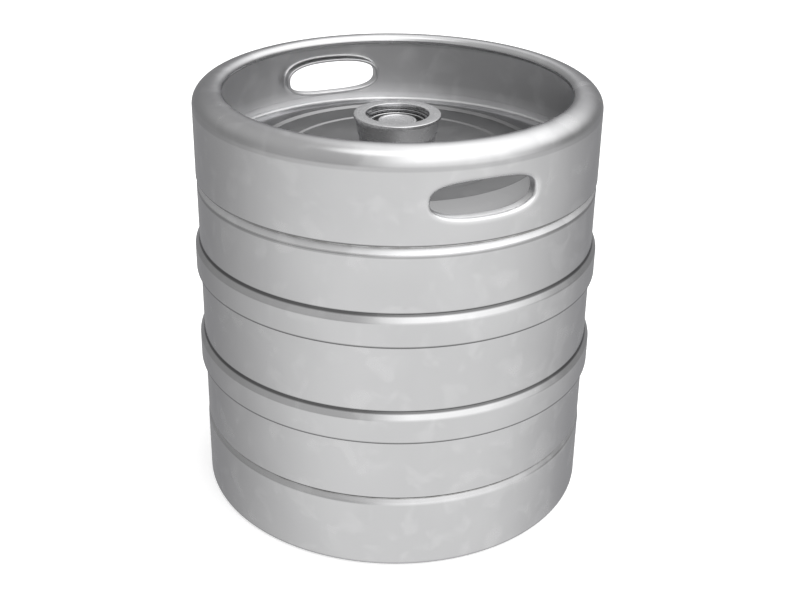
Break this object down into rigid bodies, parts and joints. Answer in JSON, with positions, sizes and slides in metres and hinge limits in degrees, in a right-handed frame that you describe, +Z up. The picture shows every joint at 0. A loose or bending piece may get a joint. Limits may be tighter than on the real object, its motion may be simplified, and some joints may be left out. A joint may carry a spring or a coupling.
{
  "type": "beer keg",
  "caption": "Cylindrical stainless steel beer keg with rolling rings, a rolled top chime with hand slots, a foot chime and a central well-type neck with a sprung extractor valve.",
  "frame": {"origin": "centre of the foot circle that the keg stands on", "axes": "+Z up the keg's axis; the hand slots of the top chime face -Y and +Y"},
  "size_m": [0.381, 0.381, 0.4],
  "materials": {
    "satin_steel": "satin, slightly mottled",
    "machined_steel": "fine turned",
    "weld_steel": "pickled weld bead",
    "spring_steel": "drawn wire",
    "black_rubber": "matte",
    "guide_plastic": "moulded, natural white"
  },
  "bodies": {
    "keg": {"top_chime": "satin_steel", "upper_shell": "satin_steel", "lower_shell": "satin_steel", "bottom_chime": "satin_steel", "girth_weld": "weld_steel", "top_chime_weld": "weld_steel", "bottom_chime_weld": "weld_steel", "neck_weld": "weld_steel", "keg_neck": "machined_steel", "valve_body": "machined_steel", "retaining_circlip": "spring_steel", "neck_seal": "black_rubber", "spring_basket": "satin_steel", "tube_guide": "guide_plastic", "spring_seat_washer": "machined_steel", "gas_spring": "spring_steel"},
    "spear": {"gas_seal": "black_rubber", "spear_cup": "machined_steel", "down_tube": "satin_steel", "beer_spring": "spring_steel"},
    "centre_valve": {"beer_valve": "machined_steel", "poppet_seal": "black_rubber"}
  },
  "joints": [
    {"name": "gas_valve_slide", "type": "slide", "parent": "keg", "child": "spear", "axis": [0, 0, -1], "range_m": [0, 0.006], "stiffness_N_per_m": 5000, "springref_m": -0.012, "deforming": ["gas_spring"]},
    {"name": "beer_valve_slide", "type": "slide", "parent": "spear", "child": "centre_valve", "axis": [0, 0, -1], "range_m": [0, 0.005], "stiffness_N_per_m": 2000, "springref_m": -0.012, "deforming": ["beer_spring"]}
  ]
}
